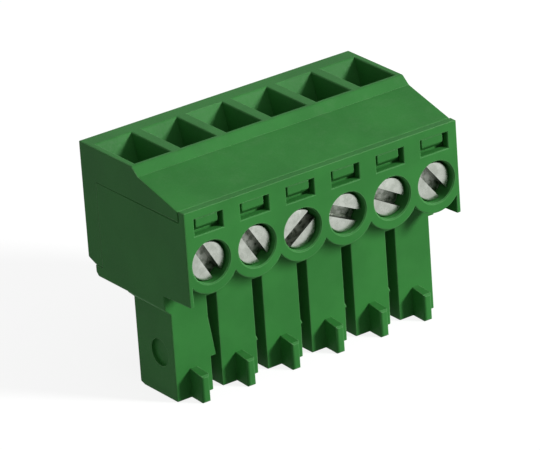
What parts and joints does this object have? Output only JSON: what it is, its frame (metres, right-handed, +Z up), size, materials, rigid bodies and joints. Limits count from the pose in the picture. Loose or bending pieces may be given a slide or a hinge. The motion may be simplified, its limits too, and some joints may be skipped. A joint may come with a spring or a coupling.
{
  "type": "pluggable terminal block",
  "caption": "Pluggable terminal block: wires enter funnels on top, front screws draw clamp cages onto the contacts, and the socketed legs below push onto a pin header.",
  "frame": {"origin": "centre of the footprint, on the plane of the leg ends", "axes": "+X along the row of poles, seen from the screws from left to right; -Y towards the screws; +Z up, to the wire entries"},
  "size_m": [0.0212, 0.0112, 0.0154],
  "materials": {
    "green_moulding": "satin, fine moulded grain",
    "screw_steel": "zinc plated, bright",
    "cage_steel": "zinc plated, satin",
    "tinned_contact": "tinned copper alloy, satin"
  },
  "bodies": {
    "housing": {"contact_base": "green_moulding", "wire_cap": "green_moulding", "contact_1": "tinned_contact", "contact_2": "tinned_contact", "contact_3": "tinned_contact", "contact_4": "tinned_contact", "contact_5": "tinned_contact", "contact_6": "tinned_contact"},
    "screw_1": {"clamp_screw_1": "screw_steel"},
    "cage_1": {"clamp_cage_1": "cage_steel"},
    "screw_2": {"clamp_screw_2": "screw_steel"},
    "cage_2": {"clamp_cage_2": "cage_steel"},
    "screw_3": {"clamp_screw_3": "screw_steel"},
    "cage_3": {"clamp_cage_3": "cage_steel"},
    "screw_4": {"clamp_screw_4": "screw_steel"},
    "cage_4": {"clamp_cage_4": "cage_steel"},
    "screw_5": {"clamp_screw_5": "screw_steel"},
    "cage_5": {"clamp_cage_5": "cage_steel"},
    "screw_6": {"clamp_screw_6": "screw_steel"},
    "cage_6": {"clamp_cage_6": "cage_steel"}
  },
  "joints": [
    {"name": "screw_1_turn", "type": "hinge", "parent": "housing", "child": "screw_1", "pos_m": [-0.00875, -0.0052, 0.01009], "axis": [0, 1, 0], "range_deg": [0, 1530.5]},
    {"name": "cage_1_slide", "type": "slide", "parent": "housing", "child": "cage_1", "axis": [0, -1, 0], "range_m": [0, 0.0017]},
    {"name": "screw_2_turn", "type": "hinge", "parent": "housing", "child": "screw_2", "pos_m": [-0.00525, -0.0052, 0.01009], "axis": [0, 1, 0], "range_deg": [0, 1530.5]},
    {"name": "cage_2_slide", "type": "slide", "parent": "housing", "child": "cage_2", "axis": [0, -1, 0], "range_m": [0, 0.0017]},
    {"name": "screw_3_turn", "type": "hinge", "parent": "housing", "child": "screw_3", "pos_m": [-0.00175, -0.0052, 0.01009], "axis": [0, 1, 0], "range_deg": [0, 1530.5]},
    {"name": "cage_3_slide", "type": "slide", "parent": "housing", "child": "cage_3", "axis": [0, -1, 0], "range_m": [0, 0.0017]},
    {"name": "screw_4_turn", "type": "hinge", "parent": "housing", "child": "screw_4", "pos_m": [0.00175, -0.0052, 0.01009], "axis": [0, 1, 0], "range_deg": [0, 1530.5]},
    {"name": "cage_4_slide", "type": "slide", "parent": "housing", "child": "cage_4", "axis": [0, -1, 0], "range_m": [0, 0.0017]},
    {"name": "screw_5_turn", "type": "hinge", "parent": "housing", "child": "screw_5", "pos_m": [0.00525, -0.0052, 0.01009], "axis": [0, 1, 0], "range_deg": [0, 1530.5]},
    {"name": "cage_5_slide", "type": "slide", "parent": "housing", "child": "cage_5", "axis": [0, -1, 0], "range_m": [0, 0.0017]},
    {"name": "screw_6_turn", "type": "hinge", "parent": "housing", "child": "screw_6", "pos_m": [0.00875, -0.0052, 0.01009], "axis": [0, 1, 0], "range_deg": [0, 1530.5]},
    {"name": "cage_6_slide", "type": "slide", "parent": "housing", "child": "cage_6", "axis": [0, -1, 0], "range_m": [0, 0.0017]}
  ],
  "couplings": [
    {"joint": "screw_1_turn", "follows": "cage_1_slide", "rad_per_m": 15708},
    {"joint": "screw_2_turn", "follows": "cage_2_slide", "rad_per_m": 15708},
    {"joint": "screw_3_turn", "follows": "cage_3_slide", "rad_per_m": 15708},
    {"joint": "screw_4_turn", "follows": "cage_4_slide", "rad_per_m": 15708},
    {"joint": "screw_5_turn", "follows": "cage_5_slide", "rad_per_m": 15708},
    {"joint": "screw_6_turn", "follows": "cage_6_slide", "rad_per_m": 15708}
  ]
}
